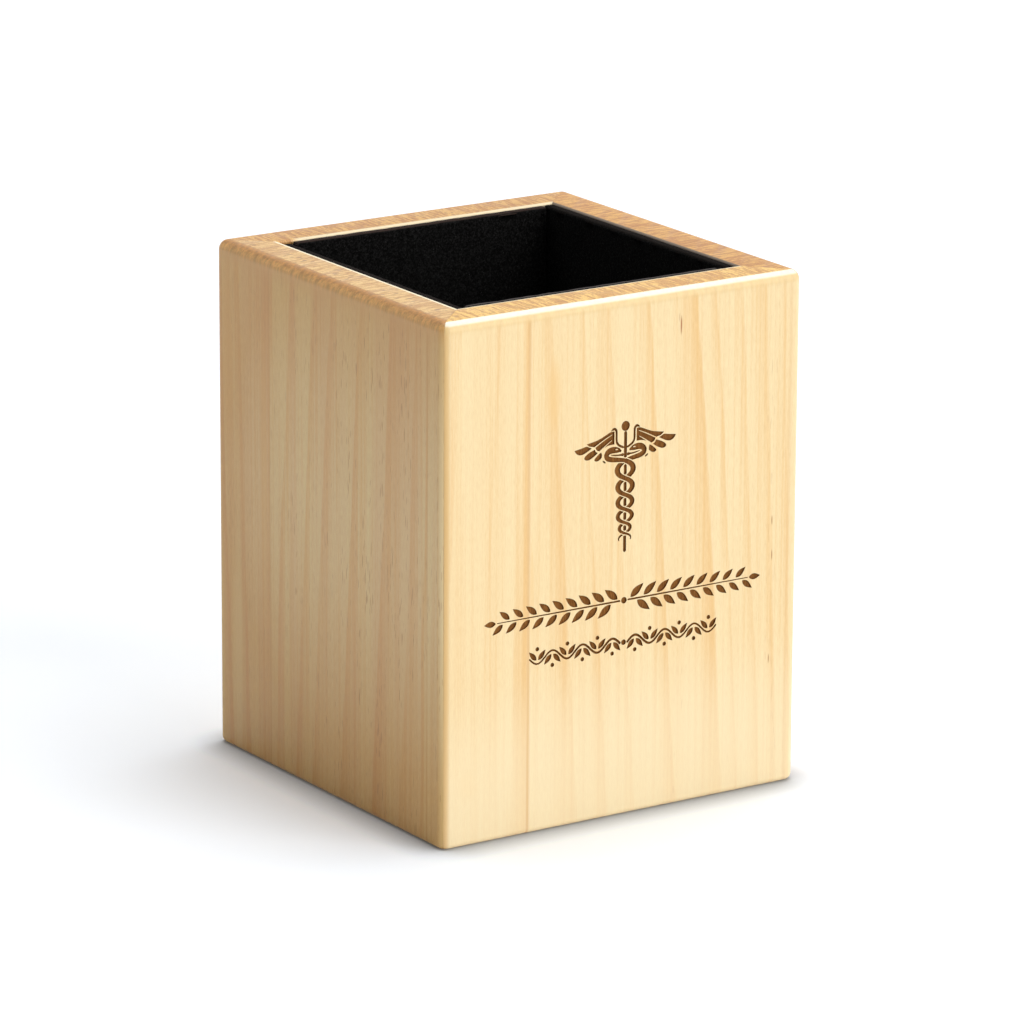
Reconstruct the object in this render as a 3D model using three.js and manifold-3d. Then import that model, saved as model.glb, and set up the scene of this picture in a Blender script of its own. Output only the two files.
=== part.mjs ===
// A square wooden pen cup in millimetres, +Z up. Four pine boards with upright grain are glued
// edge to edge with mitres, round a base board that drops into a rabbet from below. Five panels
// of black felt line the inside, and a felt pad under the base keeps the wood off the desk.
// The origin is the centre of the footprint, on the desk. The front faces -Y.
import * as THREE from "three";
import { RoundedBoxGeometry } from "three/addons/geometries/RoundedBoxGeometry.js";
import { mergeVertices } from "three/addons/utils/BufferGeometryUtils.js";
import Module from "manifold-3d";

// Driving dimensions
const cupWidth = 82.5; // outside, left to right
const cupDepth = 82.5; // outside, front to back
const cupHeight = 103.2; // desk to rim
const boardThickness = 9.2;
const edgeRadius = 2; // the roundover on the upright edges and the rim
const footRadius = 1; // the smaller one along the foot
const innerArris = 0.5; // the sanded inner edge of the rim
const rabbetDepth = 3.5; // how far the rabbet reaches into a board
const baseThickness = 6;
const padThickness = 1.5;
const padProud = 0.3; // how far the pad stands out below the boards
const feltThickness = 2;
const liningRecess = 0.4; // from the rim down to the top of the side linings

// Clearances
const jointGap = 0.3; // between faces that are glued together
const feltFit = 0.3; // between the edges of neighbouring felt panels
const baseFit = 0.3; // round the base board and the pad, inside the rabbet

// Places that follow from them
const boardHeight = cupHeight - padProud;
const innerWidth = cupWidth - 2 * boardThickness;
const innerDepth = cupDepth - 2 * boardThickness;
const baseBottom = padThickness + jointGap;
const baseTop = baseBottom + baseThickness;
const rabbetTop = baseTop + jointGap;
const floorBottom = baseTop + jointGap;
const liningBottom = floorBottom + feltThickness + feltFit;
const liningTop = cupHeight - liningRecess;

const overcut = boardThickness; // how far a cutter runs past the wood
const roundSegments = 5; // facets on each quarter of a rounded edge

const pine = { color: 0xefd3a7, roughness: 0.5, metalness: 0 };
const basePine = { color: 0xe4c595, roughness: 0.65, metalness: 0 };
const felt = { color: 0x0e0d0d, roughness: 1, metalness: 0 };

const wasm = await Module();
wasm.setup();

// A closed geometry as a solid that can be cut and joined.
function solidFrom(geometry) {
  const plain = geometry.clone();
  plain.deleteAttribute("normal");
  plain.deleteAttribute("uv");
  const merged = mergeVertices(plain);
  return new wasm.Manifold(
    new wasm.Mesh({
      numProp: 3,
      vertProperties: merged.attributes.position.array,
      triVerts: new Uint32Array(merged.index.array),
    }),
  );
}

// A cut solid as a geometry again, with flat faces.
function geometryFrom(solid) {
  const mesh = solid.getMesh();
  const indexed = new THREE.BufferGeometry();
  indexed.setAttribute("position", new THREE.BufferAttribute(mesh.vertProperties, 3));
  indexed.setIndex(new THREE.BufferAttribute(mesh.triVerts, 1));
  const flat = indexed.toNonIndexed();
  flat.computeVertexNormals();
  return flat;
}

// A box from its lowest corner to its highest.
function boxBetween(low, high) {
  const size = high.map((value, axis) => value - low[axis]);
  const middle = high.map((value, axis) => (value + low[axis]) / 2);
  return new THREE.BoxGeometry(...size).translate(...middle);
}

// One board in its own frame: it lies along X, its outer face is at y = 0 and looks towards -Y,
// and its foot is at z = 0. Each end is mitred at 45 degrees, half a joint gap short.
function boardGeometry(length) {
  const half = length / 2;
  const blockDepth = 4 * boardThickness;
  const tall = boardHeight + 2 * overcut;
  const block = new RoundedBoxGeometry(length, blockDepth, tall, roundSegments, edgeRadius);
  block.translate(0, blockDepth / 2, boardHeight - tall / 2);
  const footed = new RoundedBoxGeometry(length, blockDepth, tall, roundSegments, footRadius);
  footed.translate(0, blockDepth / 2, tall / 2);

  const endGap = jointGap / Math.SQRT2;
  const outerEnd = half + overcut - endGap;
  const innerEnd = half - boardThickness - endGap;
  const plan = new THREE.Shape([
    new THREE.Vector2(-outerEnd, -overcut),
    new THREE.Vector2(outerEnd, -overcut),
    new THREE.Vector2(innerEnd, boardThickness),
    new THREE.Vector2(-innerEnd, boardThickness),
  ]);
  const mitres = new THREE.ExtrudeGeometry(plan, {
    depth: boardHeight + 2 * overcut,
    bevelEnabled: false,
  });
  mitres.translate(0, 0, -overcut);

  const rabbetShoulder = rabbetTop - padProud;
  const rabbet = boxBetween(
    [-half, boardThickness - rabbetDepth, -overcut],
    [half, boardThickness + overcut, rabbetShoulder],
  );

  // The arris is sanded off along the top of the inner face.
  const corner = new THREE.Shape([
    new THREE.Vector2(boardThickness - innerArris, boardHeight),
    new THREE.Vector2(boardThickness, boardHeight - innerArris),
    new THREE.Vector2(boardThickness + overcut, boardHeight - innerArris),
    new THREE.Vector2(boardThickness + overcut, boardHeight + overcut),
    new THREE.Vector2(boardThickness - innerArris, boardHeight + overcut),
  ]);
  const arris = new THREE.ExtrudeGeometry(corner, { depth: length, bevelEnabled: false });
  arris.rotateX(Math.PI / 2).rotateZ(Math.PI / 2).translate(-half, 0, 0);

  const board = solidFrom(block)
    .intersect(solidFrom(footed))
    .intersect(solidFrom(mitres))
    .subtract(solidFrom(rabbet))
    .subtract(solidFrom(arris));
  return geometryFrom(board);
}

const cup = new THREE.Group();

function addPiece(name, geometry, finish, position, turn = 0) {
  const piece = new THREE.Mesh(geometry, new THREE.MeshStandardMaterial(finish));
  piece.name = name;
  piece.position.set(...position);
  piece.rotation.z = turn;
  cup.add(piece);
}

// The four sides, each with the turn that takes its board's -Y face outwards.
const sides = [
  { side: "front", length: cupWidth, out: cupDepth / 2, turn: 0 },
  { side: "right", length: cupDepth, out: cupWidth / 2, turn: Math.PI / 2 },
  { side: "back", length: cupWidth, out: cupDepth / 2, turn: Math.PI },
  { side: "left", length: cupDepth, out: cupWidth / 2, turn: -Math.PI / 2 },
];

// A place that lies `inward` from the middle of a side's outer face, at height z.
function placeOnSide({ out, turn }, inward, z) {
  const reach = out - inward;
  return [Math.sin(turn) * reach, -Math.cos(turn) * reach, z];
}

for (const board of sides) {
  const place = placeOnSide(board, 0, padProud);
  addPiece(`${board.side}_wall`, boardGeometry(board.length), pine, place, board.turn);
}

// The base board and the pad under it share the rabbet's outline.
const rabbetWidth = innerWidth + 2 * rabbetDepth - 2 * baseFit;
const rabbetLength = innerDepth + 2 * rabbetDepth - 2 * baseFit;
const baseGeometry = new THREE.BoxGeometry(rabbetWidth, rabbetLength, baseThickness);
addPiece("base_board", baseGeometry, basePine, [0, 0, baseBottom + baseThickness / 2]);
const padGeometry = new THREE.BoxGeometry(rabbetWidth, rabbetLength, padThickness);
addPiece("base_pad", padGeometry, felt, [0, 0, padThickness / 2]);

// The floor lining lies on the base board, and the side linings stand on it. Those on the left
// and right run from wall to wall, and those at the front and back fit between them.
const floorGeometry = new THREE.BoxGeometry(
  innerWidth - 2 * jointGap,
  innerDepth - 2 * jointGap,
  feltThickness,
);
addPiece("floor_lining", floorGeometry, felt, [0, 0, floorBottom + feltThickness / 2]);

for (const lining of sides) {
  const runsThrough = lining.side === "left" || lining.side === "right";
  const shorterBy = runsThrough ? 0 : 2 * (feltThickness + feltFit);
  const length = lining.length - 2 * boardThickness - 2 * jointGap - shorterBy;
  const height = liningTop - liningBottom;
  const inward = boardThickness + jointGap + feltThickness / 2;
  const place = placeOnSide(lining, inward, liningBottom + height / 2);
  const geometry = new THREE.BoxGeometry(length, feltThickness, height);
  addPiece(`${lining.side}_lining`, geometry, felt, place, lining.turn);
}

export default cup;
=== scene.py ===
import math
import random

import bmesh
import bpy
from mathutils import Matrix, Vector, noise


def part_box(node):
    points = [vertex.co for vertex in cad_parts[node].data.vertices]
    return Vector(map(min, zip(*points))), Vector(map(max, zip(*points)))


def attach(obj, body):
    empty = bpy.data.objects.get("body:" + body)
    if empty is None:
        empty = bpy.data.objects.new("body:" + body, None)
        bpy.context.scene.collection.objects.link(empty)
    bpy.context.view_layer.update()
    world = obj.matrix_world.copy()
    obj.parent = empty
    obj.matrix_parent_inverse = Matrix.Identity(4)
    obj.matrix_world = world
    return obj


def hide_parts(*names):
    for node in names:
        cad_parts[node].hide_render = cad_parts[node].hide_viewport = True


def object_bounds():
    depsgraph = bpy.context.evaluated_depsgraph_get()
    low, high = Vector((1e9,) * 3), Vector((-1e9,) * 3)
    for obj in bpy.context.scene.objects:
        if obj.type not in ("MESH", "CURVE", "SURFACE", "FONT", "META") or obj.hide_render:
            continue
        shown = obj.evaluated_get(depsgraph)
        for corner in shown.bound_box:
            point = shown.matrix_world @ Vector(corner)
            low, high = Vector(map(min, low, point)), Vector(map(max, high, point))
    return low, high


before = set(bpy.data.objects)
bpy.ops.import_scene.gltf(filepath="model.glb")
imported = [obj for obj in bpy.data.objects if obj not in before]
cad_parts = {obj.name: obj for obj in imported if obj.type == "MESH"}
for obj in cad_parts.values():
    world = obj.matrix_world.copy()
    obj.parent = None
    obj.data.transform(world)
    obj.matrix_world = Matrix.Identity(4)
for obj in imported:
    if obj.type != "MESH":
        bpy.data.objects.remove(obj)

MM = 0.001
cad_low, cad_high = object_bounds()

# Sizes from the frame
front_low, front_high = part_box("front_wall")
PAD_SQUEEZE = 0.28 * MM  # how far the cup's weight presses the boards into the felt pad
WALL_THICKNESS = front_high.y - front_low.y
WALL_FOOT = front_low.z - PAD_SQUEEZE
WALL_HEIGHT = front_high.z - WALL_FOOT
CUP_WIDTH = cad_high.x - cad_low.x
CUP_DEPTH = cad_high.y - cad_low.y
base_low, base_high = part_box("base_board")
front_felt_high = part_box("front_lining")[1]

# Sizes of the boards
EDGE_RADIUS = 2 * MM  # of the upright edges and the rim
FOOT_RADIUS = 1.3 * MM
EDGE_SEGMENTS = 12
SHARP_FROM = 40  # in degrees
FOOT_SEGMENTS = 6
ARRIS = 0.5 * MM  # what is sanded off the inner edge of the rim
MITRE_GAP = 0.02 * MM  # the hairline between two boards
MITRE_EASE = 0.06 * MM  # the broken edge on each side of it
RABBET_CLEARANCE = 0.3 * MM

# Sizes of the engraving
ENGRAVING_DEPTH = 0.35 * MM
ENGRAVING_STEP = 0.12  # between two points of a curve, in mm
FIGURE_SHIFT = 0.1  # of all that is engraved, to the right of the middle, in mm
FIGURE_DROP = 0.1  # and down, in mm
LINE_GAP = 0.17 * MM  # the bare wood left between two engraved shapes


# Mesh helpers
def add_object(name, data):
    made = bpy.data.objects.new(name, data)
    bpy.context.scene.collection.objects.link(made)
    return made


def object_from(bm, name):
    mesh = bpy.data.meshes.new(name)
    bm.to_mesh(mesh)
    bm.free()
    return add_object(name, mesh)


def bake_modifiers(obj):
    """Replaces the object's mesh by what its modifiers make of it."""
    bpy.context.view_layer.update()
    graph = bpy.context.evaluated_depsgraph_get()
    made = bpy.data.meshes.new_from_object(obj.evaluated_get(graph))
    obj.modifiers.clear()
    obj.data = made


def subtract(obj, *cutters):
    """Cuts the cutters out of obj, and removes them."""
    for cutter in cutters:
        cut = obj.modifiers.new("cut", "BOOLEAN")
        cut.operation = "DIFFERENCE"
        cut.solver = "EXACT"
        cut.material_mode = "TRANSFER"
        cut.object = cutter
    bake_modifiers(obj)
    for cutter in cutters:
        bpy.data.objects.remove(cutter)


def box_mesh(low, high, less=0.0):
    """A box between two corners, smaller by less in each direction."""
    low, high = Vector(low), Vector(high)
    bm = bmesh.new()
    bmesh.ops.create_cube(bm, size=1)
    bmesh.ops.scale(bm, vec=high - low - Vector((less, less, less)), verts=bm.verts)
    bmesh.ops.translate(bm, vec=(low + high) / 2, verts=bm.verts)
    return bm


def shade_smooth(obj):
    """Smooth shading that keeps flat faces flat and edges past SHARP_FROM sharp."""
    obj.data.shade_smooth()
    obj.data.set_sharp_from_angle(angle=math.radians(SHARP_FROM))
    weighted = obj.modifiers.new("weighted", "WEIGHTED_NORMAL")
    weighted.keep_sharp = True


# Shader helpers
def new_material(name):
    material = bpy.data.materials.new(name)
    material.use_nodes = True
    material.node_tree.nodes.clear()
    return material, material.node_tree


def node(tree, kind, inputs=None, **settings):
    """A new node with its settings made, and its inputs set or linked by name or number."""
    made = tree.nodes.new(kind)
    for key, value in settings.items():
        setattr(made, key, value)
    for key, value in (inputs or {}).items():
        if isinstance(value, bpy.types.NodeSocket):
            tree.links.new(value, made.inputs[key])
        else:
            made.inputs[key].default_value = value
    return made


def calc(tree, operation, *values, clamp=False):
    inputs = dict(enumerate(values))
    return node(tree, "ShaderNodeMath", inputs, operation=operation, use_clamp=clamp).outputs[0]


def rescale(tree, value, low, high, to_low=0.0, to_high=1.0, smooth=True):
    """value between low and high, brought to between to_low and to_high and held there."""
    kind = "SMOOTHSTEP" if smooth else "LINEAR"
    inputs = {0: value, 1: low, 2: high, 3: to_low, 4: to_high}
    return node(tree, "ShaderNodeMapRange", inputs, interpolation_type=kind).outputs[0]


def mix_colour(tree, factor, first, second, blend="MIX"):
    inputs = {0: factor, 6: first, 7: second}
    mixed = node(tree, "ShaderNodeMix", inputs, data_type="RGBA", blend_type=blend)
    return mixed.outputs[2]


def stretched(tree, vector, scale):
    inputs = {0: vector, 1: scale}
    return node(tree, "ShaderNodeVectorMath", inputs, operation="MULTIPLY").outputs[0]


def shifted(tree, vector, by):
    inputs = {0: vector, 1: by}
    return node(tree, "ShaderNodeVectorMath", inputs, operation="ADD").outputs[0]


def axes_of(tree, vector):
    return node(tree, "ShaderNodeSeparateXYZ", {0: vector}).outputs


def place_in_mm(tree):
    place = node(tree, "ShaderNodeTexCoord").outputs["Object"]
    return stretched(tree, place, (1000, 1000, 1000))


def height_of_normal(tree):
    """How far the surface looks upwards, from -1 to 1."""
    return axes_of(tree, node(tree, "ShaderNodeTexCoord").outputs["Normal"])[2]


def bump_from(tree, height, strength, distance):
    inputs = {"Height": height, "Strength": strength, "Distance": distance}
    return node(tree, "ShaderNodeBump", inputs).outputs[0]


def add_surface(tree, inputs):
    """The material's shader, and its output."""
    shader = node(tree, "ShaderNodeBsdfPrincipled", inputs)
    node(tree, "ShaderNodeOutputMaterial", {"Surface": shader.outputs[0]})


def noise_value(tree, vector, scale, detail, roughness, seed):
    place = stretched(tree, vector, scale)
    inputs = {"Vector": place, "W": seed, "Scale": 1.0, "Detail": detail, "Roughness": roughness}
    return node(tree, "ShaderNodeTexNoise", inputs, noise_dimensions="4D").outputs["Fac"]


def profile_curve(tree, value, points, low, high):
    """A value from low to high, sent along straight lines between (value, result) points."""
    share = rescale(tree, value, low, high, smooth=False)
    made = node(tree, "ShaderNodeFloatCurve", {"Value": share})
    curve = made.mapping.curves[0]
    shares = [((place - low) / (high - low), result) for place, result in points]
    curve.points[0].location = shares[0]
    curve.points[-1].location = shares[-1]
    for place, result in shares[1:-1]:
        curve.points.new(place, result)
    for point in curve.points:
        point.handle_type = "VECTOR"
    made.mapping.update()
    return made.outputs[0]


def rgb(red, green, blue):
    return (red, green, blue, 1.0)


# Pine. A board's grain follows its own frame: x across the board, y into it from the outer face
# and z along the grain, in millimetres in the shader.
EARLYWOOD = rgb(0.885, 0.710, 0.415)
LATEWOOD = rgb(0.83, 0.56, 0.25)
RESIN_LINE = rgb(0.68, 0.38, 0.14)
RESIN_FLECK = rgb(0.42, 0.16, 0.045)
# painted shade, which darkens and browns the wood towards some edges of the boards:
PAINTED_SHADE = rgb(0.84, 0.71, 0.50)  # multiplies the colour
ORANGE_SPOT = rgb(0.82, 0.52, 0.20)
PALE_SPOT = rgb(0.905, 0.775, 0.52)
END_EARLY = rgb(0.77, 0.53, 0.255)  # where the fibres end
END_LATE = rgb(0.53, 0.28, 0.095)
END_PORE = rgb(0.72, 0.58, 0.42)  # multiplies them
END_TORN = rgb(0.33, 0.17, 0.07)
BURNT = rgb(0.285, 0.118, 0.029)
BURNT_DARK = rgb(0.15, 0.057, 0.013)
BAND_EDGE = 0.35  # how fast a latewood band ends, in mm
GRAIN_RANGE = (-6.0, 90.0)  # the part of x that the bands cover, in mm
ACROSS = (0.0, 83.0)  # the ranges of the (place, amount) points below, in mm
UPWARDS = (0.0, 103.0)
DOWNWARDS = (0.0, 6.0)  # from the rim
MID_HEIGHT = 55.0  # at which the bands stand where they are put, in mm
LEAN_HEIGHT = 70.0
LEAN_LIMIT = 10.0  # no lean is larger, in mm
RIM_DEPTH = 1.0  # as far down as the rim's own colours reach, in mm
RIM_BLUR = 0.15  # half the width over which they set in, in mm
ARRIS_BLUR = 0.12

# How each board looks. Places and sizes are in mm.
# bands: where a band of latewood ends abruptly, its width (below zero where it fades the other
#     way) and its strength
# lean: how far the grain drifts sideways over LEAN_HEIGHT, at places across
# tilt: how far a ring drifts across for each mm of depth
# lines: the place of a resin line, half its width and its strength
# flecks: the strength of short resin dashes, at places across
# spots: the middle of a soft patch, half its width and height, its strength and colour
# contrast of the bands, and the tint of the whole, of the long stripes and of the fibres
# shade_up, shade_across: how much painted shade darkens and browns the wood, at heights and
#     at places across
# edges: the colour of a stripe along the rim, and its strength at depths below the rim
# edge_rag: how ragged those stripes are
# rim_start: how far in from the outer face the end grain begins
# arris: the colour of the arris, from arris_from in front of it, up to arris_until across: a
#     painted highlight on paler sanded wood on the front and left boards, painted shade on the
#     right one
# end_tint, end_tones, dashes: the tint of the end grain, how dark it is at places across, and
#     how strong its torn dashes are
# knot: the middle of a knot in the rim, across and inwards
UNSEEN_FACE = {  # shared by the right and back boards
    "flecks": [(0, 0.5), (83, 0.5)],
    "contrast": 1.2,
    "shade_across": [(0, 0.2), (20, 0), (60, 0), (83, 0.3)],
    "edges": [(rgb(0.72, 0.47, 0.22), [(0, 0), (0.5, 0.7), (1.2, 0.5), (2.5, 0), (6, 0)])],
    "edge_rag": 0.5,
    "rim_start": 1.4,
    "fibre": rgb(0.91, 0.85, 0.78),
}
BOARDS = {
    "front": {
        "bands": [
            (1.5, 5, 0.3), (10.6, 4, 0.3), (15.8, 1.5, 0.2), (19.3, 3.4, 0.9), (26.9, 7.0, 0.6),
            (34.2, 3.6, 0.6), (40.5, 4.5, 0.4), (50.2, 4.5, 0.85), (61.0, 6.5, 0.9),
            (65.3, 2.0, 0.6), (70.8, 3.2, 0.65), (75.6, 3.6, 0.7), (79.6, 3.4, 0.55),
        ],
        "lean": [(-6, -3), (15, -3.7), (19.3, 0), (24, 4.5), (62, 5), (76, 3), (80, 2), (90, 1)],
        "tilt": 1.5,
        "lines": [(19.4, 0.35, 0.9), (79.8, 0.4, 0.3)],
        "flecks": [
            (0, 0.03), (52, 0.05), (54, 0.4), (56, 0.03),
            (73, 0.1), (75.5, 0.3), (78, 0.1), (83, 0),
        ],
        "spots": [
            (25, 86, 1.8, 9, 0.5, ORANGE_SPOT), (5.6, 12, 2.5, 4, 0.2, ORANGE_SPOT),
            (20.2, 48, 0.6, 12, 0.4, ORANGE_SPOT), (40, 2, 90, 34, 0.5, PALE_SPOT),
            (54, 95.9, 0.24, 2.3, 1.0, RESIN_FLECK), (53.6, 97.5, 0.14, 1.2, 0.5, RESIN_FLECK),
            (76, 54, 0.16, 1.2, 0.9, RESIN_FLECK), (76.1, 47, 0.16, 1.4, 0.9, RESIN_FLECK),
            (75.7, 26, 0.16, 1.2, 0.8, RESIN_FLECK), (0.5, 50, 1.3, 200, 0.8, ORANGE_SPOT),
        ],
        "contrast": 1.1,
        "tint": rgb(1.0, 1.01, 1.02),
        "stripe": rgb(0.985, 0.945, 0.90),
        "shade_up": [(0, 0), (103, 0)],
        "shade_across": [(0, 0), (83, 0)],
        "edges": [
            # a painted highlight along the rounded top edge, then a darker, oranger stripe below it
            (rgb(0.93, 0.85, 0.68), [(0, 0.5), (0.1, 1), (0.6, 0.9), (0.95, 0), (6, 0)]),
            (rgb(0.78, 0.56, 0.26), [(0, 0), (0.6, 0), (1, 0.9), (1.7, 0.6), (2.5, 0), (6, 0)]),
        ],
        "edge_rag": 0.3,
        "rim_start": 1.6,
        # the arris colour, reaching onto the flat rim, is a painted highlight on paler sanded wood
        "arris_from": 0.3,
        "arris": rgb(0.88, 0.75, 0.50),
        "end_tint": rgb(1.12, 1.05, 0.58),
        "end_tones": [(0, 0.1), (12, 0), (30, 0.5), (45, 0.3), (60, 0.6), (72, 0.3), (83, 0.2)],
        "dashes": 0.5,
        "fibre": rgb(0.93, 0.88, 0.82),
        "seed": 3.0,
    },
    "left": {
        "bands": [
            (3.5, 3, 0.8), (10.3, 5, 0.6), (19.8, 7, 0.5), (25.2, -5, 0.5), (33.6, -4.5, 0.55),
            (39.8, -5.5, 0.5), (50.2, -6, 0.6), (61.4, -9, 0.6), (71.0, -5, 0.4), (77.0, 4, 0.6),
        ],
        "lean": [(-6, 3), (12, 3), (19.5, 0), (24, -5), (66, -5), (76.5, -2), (77, 0), (90, 0)],
        "tilt": 0.25,
        "lines": [(20.2, 0.3, 0.8), (77.1, 0.3, 0.6)],
        "flecks": [(0, 0.3), (25, 0.4), (31, 1), (35, 0.4), (44, 0.9), (55, 1), (69, 1), (83, 0.5)],
        "spots": [
            (4.5, 80, 2.5, 30, 0.35, ORANGE_SPOT), (18, 60, 1.5, 40, 0.35, ORANGE_SPOT),
            (81.8, 50, 1.1, 200, 0.6, PALE_SPOT), (8, 22, 2.5, 30, 0.5, PALE_SPOT),
        ],
        "contrast": 1.85,
        "tint": rgb(1.03, 1.005, 0.89),
        "stripe": rgb(0.965, 0.895, 0.90),
        "shade_up": [
            (0, 1), (10, 1), (25, 0.6), (45, 0.1), (60, 0), (80, 0.3), (95, 0.75), (103, 1),
        ],
        "shade_across": [(0, 1), (7, 0.8), (14, 0.45), (30, 0.1), (83, 0)],
        "edges": [
            (rgb(0.70, 0.39, 0.135), [(0, 0.9), (1.4, 0.85), (3.2, 0.3), (5, 0), (6, 0)]),
            (rgb(0.43, 0.19, 0.028), [(0, 1), (0.3, 1), (0.65, 0.45), (1.1, 0), (6, 0)]),
        ],
        "edge_rag": 1.0,
        "rim_start": 2.35,
        # the arris colour, reaching onto the flat rim, is a painted highlight on paler sanded wood
        "arris_from": 0.5,
        "arris": rgb(0.90, 0.80, 0.56),
        "end_tint": rgb(0.97, 0.95, 0.77),
        "end_tones": [(0, 0.15), (25, 0.35), (45, 0), (83, 0.25)],
        "dashes": 1.0,
        "fibre": rgb(0.88, 0.80, 0.72),
        "seed": 11.0,
    },
    "right": {
        **UNSEEN_FACE,
        "bands": [
            (4, 4, 0.5), (12.5, 5, 0.7), (20, 4, 0.5), (29.5, 6, 0.8), (36, 3, 0.5),
            (46, 6, 0.7), (53, 4, 0.6), (62.5, 5, 0.8), (69, 3, 0.5), (78, 5, 0.7),
        ],
        "lean": [(-6, 1), (20, 2.5), (45, 4), (70, 3), (90, 1)],
        "tilt": 1.1,
        "lines": [(46.2, 0.35, 0.5)],
        "spots": [(62, 70, 2.5, 20, 0.35, ORANGE_SPOT)],
        "knot": (12.6, 6.2),
        "tint": rgb(0.99, 0.96, 0.90),
        "stripe": rgb(0.97, 0.91, 0.90),
        "shade_up": [(0, 0.6), (30, 0.1), (80, 0.1), (103, 0.4)],
        # the arris colour is painted shade
        "arris_from": 0.05,
        "arris": rgb(0.12, 0.08, 0.047),
        "end_tint": rgb(0.885, 0.70, 0.33),
        "end_tones": [(0, 0.4), (15, 0.1), (30, 0.5), (50, 0.1), (70, 0.3), (83, 0)],
        "dashes": 0.15,
        "seed": 23.0,
    },
    "back": {
        **UNSEEN_FACE,
        "bands": [
            (6, 5, 0.6), (13, 3, 0.5), (23.5, 6, 0.8), (31, 4, 0.5), (40, 6, 0.7),
            (47.5, 3.5, 0.5), (58, 7, 0.8), (66, 4, 0.6), (74, 5, 0.7), (81, 3, 0.6),
        ],
        "lean": [(-6, -2), (25, -3.5), (50, -4), (75, -2), (90, -1)],
        "tilt": 0.8,
        "lines": [(58.2, 0.35, 0.5)],
        "spots": [(24, 30, 2.5, 25, 0.3, ORANGE_SPOT)],
        "tint": rgb(1.0, 0.97, 0.92),
        "stripe": rgb(0.975, 0.92, 0.90),
        "shade_up": [(0, 0.5), (30, 0.1), (80, 0.1), (103, 0.4)],
        "arris_from": 0.3,
        "arris_until": 68.0,
        "arris": rgb(0.82, 0.68, 0.43),
        "end_tint": rgb(0.86, 0.72, 0.41),
        "end_tones": [(0, 0.1), (20, 0.4), (40, 0), (60, 0.3), (83, 0.15)],
        "dashes": 0.6,
        "seed": 37.0,
    },
}


def band_points(bands):
    """The bands as a curve of latewood strength across the board."""
    points = [(GRAIN_RANGE[0], 0.1)]
    for edge, width, strength in bands:
        side = 1 if width > 0 else -1
        band = [(edge - width, 0.0), (edge - 0.4 * width, 0.45 * strength), (edge, strength)]
        band.append((edge + side * BAND_EDGE, 0.0))
        points += band[::side]
    points.append((GRAIN_RANGE[1], 0.1))
    kept = points[:1]
    for point in points[1:]:
        if point[0] > kept[-1][0] + 0.05:
            kept.append(point)
    return kept


def lean_points(lean):
    """The lean brought to between 0 and 1, as a curve holds it."""
    return [(place, 0.5 + drift / (2 * LEAN_LIMIT)) for place, drift in lean]


def grain_coordinates(tree, board):
    """Place across the rings, and the board's own x, y and z, in mm."""
    from_end = shifted(tree, place_in_mm(tree), (CUP_WIDTH / 2 / MM, 0, 0))
    x, y, z = axes_of(tree, from_end)

    drift = profile_curve(tree, x, lean_points(board["lean"]), *GRAIN_RANGE)
    drift = calc(tree, "MULTIPLY_ADD", drift, 2 * LEAN_LIMIT, -LEAN_LIMIT)
    height = calc(tree, "DIVIDE", calc(tree, "SUBTRACT", MID_HEIGHT, z), LEAN_HEIGHT)
    across = calc(tree, "SUBTRACT", x, calc(tree, "MULTIPLY", drift, height))
    across = calc(tree, "MULTIPLY_ADD", y, board["tilt"], across)

    seed = board["seed"]
    slow = noise_value(tree, from_end, (0.09, 0.09, 0.014), 1.0, 0.5, seed)
    quick = noise_value(tree, from_end, (0.7, 0.7, 0.045), 2.0, 0.5, seed + 5)
    across = calc(tree, "ADD", across, calc(tree, "MULTIPLY_ADD", slow, 2.4, -1.2))
    across = calc(tree, "ADD", across, calc(tree, "MULTIPLY_ADD", quick, 0.9, -0.45))
    return across, from_end, x, y, z


def fleck_mask(tree, place, seed):
    """Short thin dashes along the grain, gathered here and there."""
    gathered = noise_value(tree, place, (0.35, 0.35, 0.03), 1.0, 0.5, seed + 6)
    reach = rescale(tree, gathered, 0.32, 0.62, 0.03, 0.22)
    masks = []
    for shift, scale in ((seed, (1.7, 0.9, 0.12)), (seed + 50, (2.5, 1.2, 0.2))):
        cells = stretched(tree, shifted(tree, place, (shift, shift, shift)), scale)
        voronoi = node(tree, "ShaderNodeTexVoronoi", {"Vector": cells, "Scale": 1.0})
        inside = calc(tree, "SUBTRACT", reach, voronoi.outputs["Distance"])
        masks.append(rescale(tree, inside, 0.0, 0.08, 0.0, 0.7))
    return calc(tree, "MAXIMUM", *masks)


def spot_mask(tree, x, z, spot):
    """A soft patch, longer along the grain."""
    middle_x, middle_z, half_width, half_height, strength = spot[:5]
    off_x = calc(tree, "DIVIDE", calc(tree, "SUBTRACT", x, middle_x), half_width)
    off_z = calc(tree, "DIVIDE", calc(tree, "SUBTRACT", z, middle_z), half_height)
    squared = calc(tree, "MULTIPLY_ADD", off_x, off_x, calc(tree, "MULTIPLY", off_z, off_z))
    return rescale(tree, squared, 1.0, 0.0, 0.0, strength)


def knot_mask(tree, x, y, middle):
    """A small knot seen on end: a dark heart with an arc round it."""
    off_x = calc(tree, "SUBTRACT", x, middle[0])
    off_y = calc(tree, "SUBTRACT", y, middle[1])
    squared = calc(tree, "MULTIPLY_ADD", off_x, off_x, calc(tree, "MULTIPLY", off_y, off_y))
    away = calc(tree, "SQRT", squared)
    heart = rescale(tree, away, 1.1, 0.3, 0.0, 0.9)
    off_arc = calc(tree, "ABSOLUTE", calc(tree, "SUBTRACT", away, 1.9))
    return calc(tree, "ADD", heart, rescale(tree, off_arc, 0.45, 0.1, 0.0, 0.8))


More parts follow.
